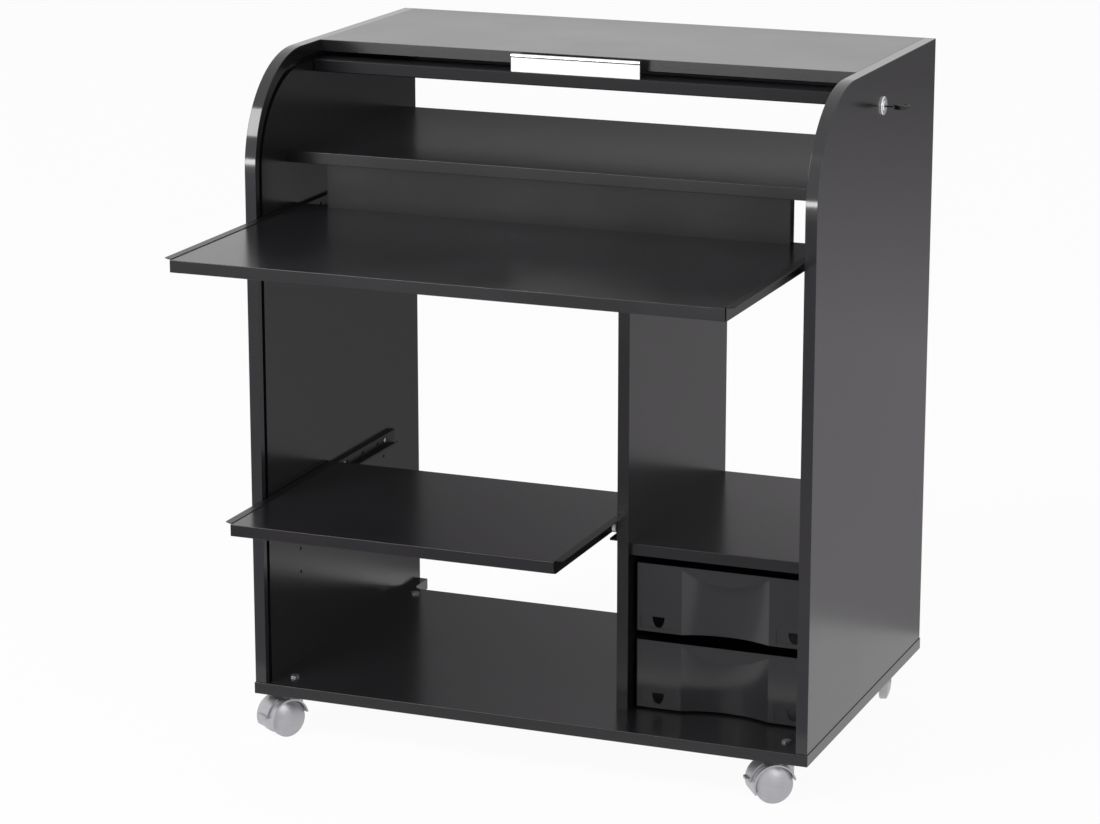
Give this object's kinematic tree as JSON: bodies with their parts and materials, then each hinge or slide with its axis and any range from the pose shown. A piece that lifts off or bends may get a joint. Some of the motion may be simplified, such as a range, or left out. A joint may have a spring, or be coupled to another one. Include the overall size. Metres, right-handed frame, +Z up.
{
  "type": "cylinder desk",
  "caption": "Computer desk on casters with quarter-round sides, a roll-down shutter, a pull-out worktop and printer shelf, a small drawer stack and an open computer bay.",
  "frame": {"origin": "centre of the whole outline at rest, on the floor under the casters", "axes": "+Z up, -Y towards the front where the worktop pulls out, +X to the right as seen from the front"},
  "size_m": [0.8408, 0.8026, 0.946],
  "materials": {
    "melamine_board": "satin black melamine-faced board",
    "edge_band": "semi-gloss black edge band",
    "slide_steel": "black epoxy coat",
    "roller_nylon": "moulded white",
    "drawer_plastic": "satin black moulding",
    "caster_plastic": "light grey moulding",
    "zinc_steel": "bright zinc",
    "chrome": "polished",
    "shutter_board": "satin black foil",
    "key_plastic": "black moulded head"
  },
  "bodies": {
    "carcass": {"left_side_panel": "melamine_board", "right_side_panel": "melamine_board", "left_edge_band": "edge_band", "right_edge_band": "edge_band", "base_panel": "melamine_board", "top_panel": "melamine_board", "upper_shelf": "melamine_board", "centre_divider": "melamine_board", "drawer_bay_shelf": "melamine_board", "base_screws": "zinc_steel", "cam_fittings": "zinc_steel", "worktop_channel_left": "slide_steel", "worktop_channel_right": "slide_steel", "printer_channel_left": "slide_steel", "printer_channel_right": "slide_steel", "slide_screws": "zinc_steel", "drawer_runners": "drawer_plastic", "lock_body": "chrome", "caster_stems": "zinc_steel", "caster_nuts": "zinc_steel"},
    "worktop": {"worktop": "melamine_board", "worktop_upstand": "melamine_board", "worktop_member_left": "slide_steel", "worktop_member_right": "slide_steel"},
    "printer_shelf": {"printer_shelf": "melamine_board", "printer_member_left": "slide_steel", "printer_member_right": "slide_steel"},
    "drawer_upper": {"drawer_upper": "drawer_plastic"},
    "drawer_lower": {"drawer_lower": "drawer_plastic"},
    "shutter_rail": {"shutter_rail": "shutter_board", "shutter_handle": "chrome"},
    "shutter_tail": {"shutter_tail": "shutter_board"},
    "lock": {"lock_plug": "chrome", "lock_cam": "zinc_steel"},
    "key": {"key": "key_plastic"},
    "worktop_front_rollers": {"worktop_front_rollers": "roller_nylon"},
    "worktop_rear_rollers": {"worktop_rear_rollers": "roller_nylon"},
    "printer_front_rollers": {"printer_front_rollers": "roller_nylon"},
    "printer_rear_rollers": {"printer_rear_rollers": "roller_nylon"},
    "shutter_slat_1": {"shutter_slat_1": "shutter_board"},
    "shutter_slat_2": {"shutter_slat_2": "shutter_board"},
    "shutter_slat_3": {"shutter_slat_3": "shutter_board"},
    "shutter_slat_4": {"shutter_slat_4": "shutter_board"},
    "shutter_slat_5": {"shutter_slat_5": "shutter_board"},
    "caster_front_left": {"caster_hood_front_left": "caster_plastic", "caster_axle_front_left": "zinc_steel"},
    "wheels_front_left": {"caster_wheels_front_left": "caster_plastic"},
    "brake_front_left": {"caster_brake_front_left": "caster_plastic"},
    "caster_front_right": {"caster_hood_front_right": "caster_plastic", "caster_axle_front_right": "zinc_steel"},
    "wheels_front_right": {"caster_wheels_front_right": "caster_plastic"},
    "brake_front_right": {"caster_brake_front_right": "caster_plastic"},
    "caster_rear_left": {"caster_hood_rear_left": "caster_plastic", "caster_axle_rear_left": "zinc_steel"},
    "wheels_rear_left": {"caster_wheels_rear_left": "caster_plastic"},
    "caster_rear_right": {"caster_hood_rear_right": "caster_plastic", "caster_axle_rear_right": "zinc_steel"},
    "wheels_rear_right": {"caster_wheels_rear_right": "caster_plastic"}
  },
  "joints": [
    {"name": "worktop_slide", "type": "slide", "parent": "carcass", "child": "worktop", "axis": [0, 1, 0], "range_m": [-0.04, 0.31]},
    {"name": "printer_slide", "type": "slide", "parent": "carcass", "child": "printer_shelf", "axis": [0, 1, 0], "range_m": [-0.05, 0.2]},
    {"name": "drawer_upper_slide", "type": "slide", "parent": "carcass", "child": "drawer_upper", "axis": [0, -1, 0], "range_m": [0, 0.25]},
    {"name": "drawer_lower_slide", "type": "slide", "parent": "carcass", "child": "drawer_lower", "axis": [0, -1, 0], "range_m": [0, 0.25]},
    {"name": "worktop_front_roller_spin", "type": "hinge", "parent": "carcass", "child": "worktop_front_rollers", "pos_m": [0, -0.08175, 0.7243], "axis": [1, 0, 0], "continuous": true},
    {"name": "worktop_rear_roller_spin", "type": "hinge", "parent": "worktop", "child": "worktop_rear_rollers", "pos_m": [0, -0.01375, 0.71825], "axis": [1, 0, 0], "continuous": true},
    {"name": "printer_front_roller_spin", "type": "hinge", "parent": "carcass", "child": "printer_front_rollers", "pos_m": [0, -0.03975, 0.3336], "axis": [1, 0, 0], "continuous": true},
    {"name": "printer_rear_roller_spin", "type": "hinge", "parent": "printer_shelf", "child": "printer_rear_rollers", "pos_m": [0, 0.08025, 0.32755], "axis": [1, 0, 0], "continuous": true},
    {"name": "shutter_turn", "type": "hinge", "parent": "carcass", "child": "shutter_rail", "pos_m": [0, 0.06525, 0.751], "axis": [1, 0, 0], "range_deg": [0, 90]},
    {"name": "shutter_slat_1_turn", "type": "hinge", "parent": "carcass", "child": "shutter_slat_1", "pos_m": [0, 0.06649, 0.72736], "axis": [1, 0, 0], "range_deg": [0, 81.93]},
    {"name": "shutter_slat_2_turn", "type": "hinge", "parent": "carcass", "child": "shutter_slat_2", "pos_m": [0, 0.08206, 0.68124], "axis": [1, 0, 0], "range_deg": [0, 66.14]},
    {"name": "shutter_slat_3_turn", "type": "hinge", "parent": "carcass", "child": "shutter_slat_3", "pos_m": [0, 0.0966, 0.60395], "axis": [1, 0, 0], "range_deg": [0, 50.35]},
    {"name": "shutter_slat_4_turn", "type": "hinge", "parent": "carcass", "child": "shutter_slat_4", "pos_m": [0, 0.10865, 0.45499], "axis": [1, 0, 0], "range_deg": [0, 34.56]},
    {"name": "shutter_slat_5_turn", "type": "hinge", "parent": "carcass", "child": "shutter_slat_5", "pos_m": [0, 0.11191, 0.05693], "axis": [1, 0, 0], "range_deg": [0, 18.77]},
    {"name": "shutter_tail_slide", "type": "slide", "parent": "carcass", "child": "shutter_tail", "axis": [0, -0.9994, 0.0355], "range_m": [0, 0.2819]},
    {"name": "lock_turn", "type": "hinge", "parent": "carcass", "child": "lock", "pos_m": [0.38337, 0.15125, 0.892], "axis": [1, 0, 0], "range_deg": [0, 90]},
    {"name": "key_pull", "type": "slide", "parent": "lock", "child": "key", "axis": [1, 0, 0], "range_m": [0, 0.03]},
    {"name": "swivel_front_left", "type": "hinge", "parent": "carcass", "child": "caster_front_left", "pos_m": [-0.37563, -0.08775, 0.053], "axis": [0, 0, 1], "continuous": true},
    {"name": "roll_front_left", "type": "hinge", "parent": "caster_front_left", "child": "wheels_front_left", "pos_m": [-0.38676, -0.10556, 0.026], "axis": [0.848, -0.5299, 0], "continuous": true},
    {"name": "brake_press_front_left", "type": "hinge", "parent": "caster_front_left", "child": "brake_front_left", "pos_m": [-0.38676, -0.10556, 0.026], "axis": [0.848, -0.5299, 0], "range_deg": [0, 12]},
    {"name": "swivel_front_right", "type": "hinge", "parent": "carcass", "child": "caster_front_right", "pos_m": [0.34237, -0.08775, 0.053], "axis": [0, 0, 1], "continuous": true},
    {"name": "roll_front_right", "type": "hinge", "parent": "caster_front_right", "child": "wheels_front_right", "pos_m": [0.32517, -0.09979, 0.026], "axis": [0.5736, -0.8192, 0], "continuous": true},
    {"name": "brake_press_front_right", "type": "hinge", "parent": "caster_front_right", "child": "brake_front_right", "pos_m": [0.32517, -0.09979, 0.026], "axis": [0.5736, -0.8192, 0], "range_deg": [0, 12]},
    {"name": "swivel_rear_left", "type": "hinge", "parent": "carcass", "child": "caster_rear_left", "pos_m": [-0.37563, 0.32525, 0.053], "axis": [0, 0, 1], "continuous": true},
    {"name": "roll_rear_left", "type": "hinge", "parent": "caster_rear_left", "child": "wheels_rear_left", "pos_m": [-0.36845, 0.34498, 0.026], "axis": [-0.9397, 0.342, 0], "continuous": true},
    {"name": "swivel_rear_right", "type": "hinge", "parent": "carcass", "child": "caster_rear_right", "pos_m": [0.34237, 0.32525, 0.053], "axis": [0, 0, 1], "continuous": true},
    {"name": "roll_rear_right", "type": "hinge", "parent": "caster_rear_right", "child": "wheels_rear_right", "pos_m": [0.33519, 0.34498, 0.026], "axis": [-0.9397, -0.342, 0], "continuous": true}
  ],
  "couplings": [
    {"joint": "worktop_front_roller_spin", "follows": "worktop_slide", "rad_per_m": -125},
    {"joint": "worktop_rear_roller_spin", "follows": "worktop_slide", "rad_per_m": 111.11},
    {"joint": "printer_front_roller_spin", "follows": "printer_slide", "rad_per_m": -125},
    {"joint": "printer_rear_roller_spin", "follows": "printer_slide", "rad_per_m": 111.11},
    {"joint": "shutter_slat_1_turn", "follows": "shutter_turn", "ratio": 0.90977},
    {"joint": "shutter_slat_2_turn", "follows": "shutter_turn", "ratio": 0.73432},
    {"joint": "shutter_slat_3_turn", "follows": "shutter_turn", "ratio": 0.55888},
    {"joint": "shutter_slat_4_turn", "follows": "shutter_turn", "ratio": 0.38343},
    {"joint": "shutter_slat_5_turn", "follows": "shutter_turn", "ratio": 0.20799},
    {"joint": "shutter_tail_slide", "follows": "shutter_turn", "m_per_rad": 0.17932}
  ]
}
